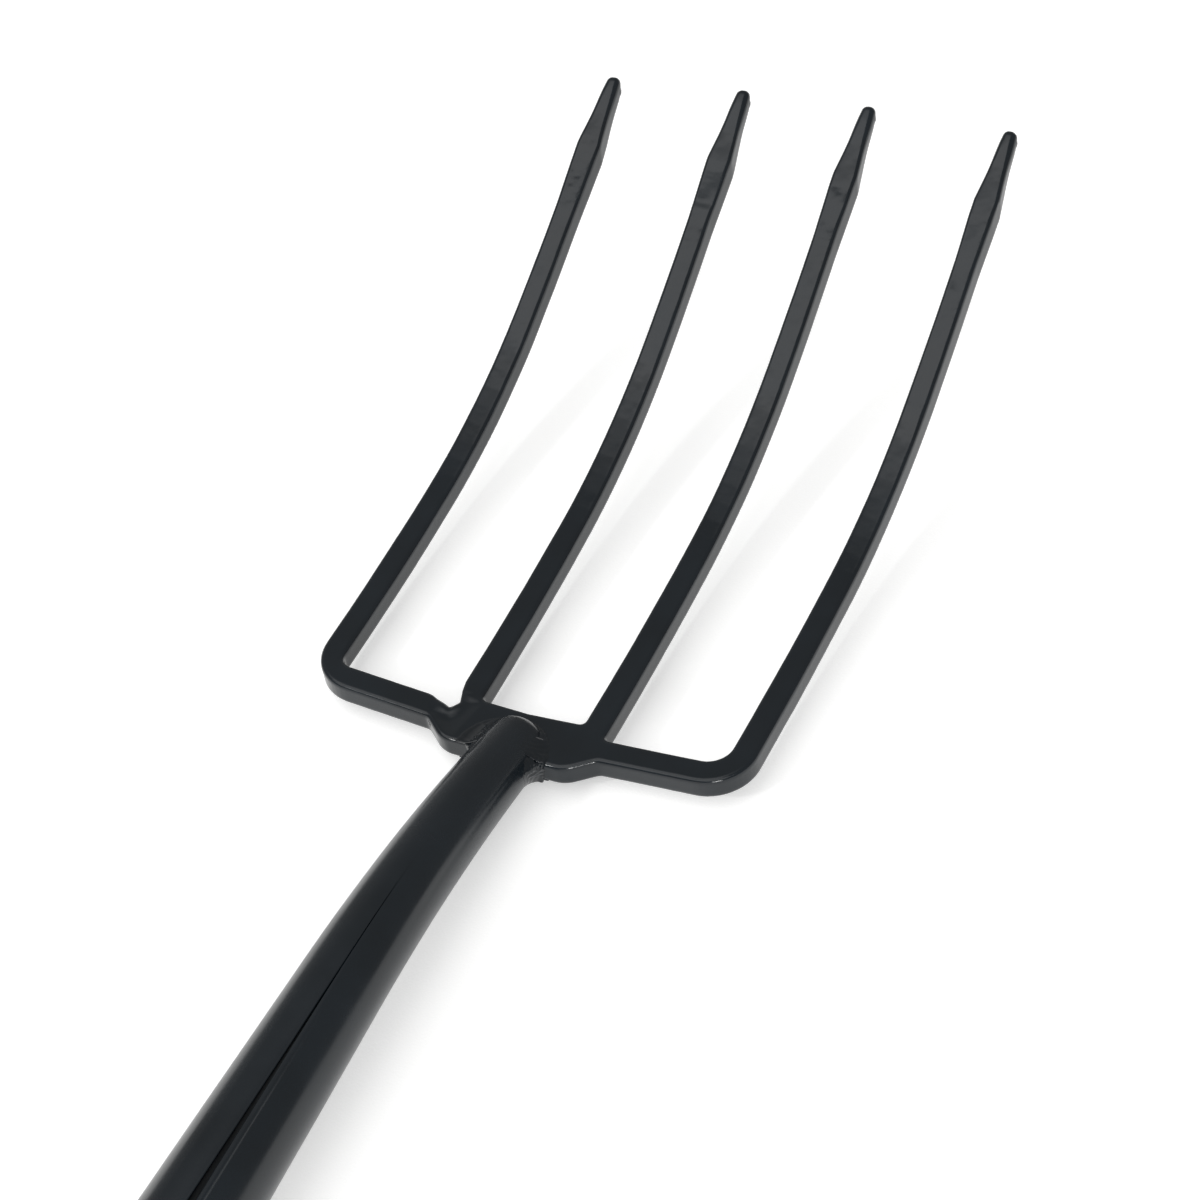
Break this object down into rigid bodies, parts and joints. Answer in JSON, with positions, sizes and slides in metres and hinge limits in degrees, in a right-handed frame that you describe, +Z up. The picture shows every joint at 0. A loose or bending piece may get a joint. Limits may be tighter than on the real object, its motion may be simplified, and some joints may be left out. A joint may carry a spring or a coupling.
{
  "type": "hay fork",
  "caption": "Long-handled fork: forged head with curved pointed tines, a tapered rolled socket welded over its hub, and a round ash handle.",
  "frame": {"origin": "on the ground under the middle of the fork's length, below the handle's axis, with the fork lying on its back", "axes": "+Y along the handle to the tine tips, +Z up, out of the hollow side of the tines, +X to the right when the tines point away"},
  "size_m": [0.1923, 1.665, 0.0974],
  "materials": {
    "head_paint": "gloss black enamel over forged steel",
    "socket_paint": "gloss black enamel over rolled sheet steel",
    "weld_paint": "gloss black enamel over rippled weld metal",
    "ash": "sanded and oiled",
    "rivet_steel": "hammered, part painted black",
    "screw_steel": "dull zinc"
  },
  "bodies": {
    "root": {"forged_head": "head_paint", "socket": "socket_paint", "front_weld": "weld_paint", "back_weld": "weld_paint", "left_toe_weld": "weld_paint", "right_toe_weld": "weld_paint", "handle": "ash", "cross_rivet": "rivet_steel", "back_screw": "screw_steel"}
  },
  "joints": []
}
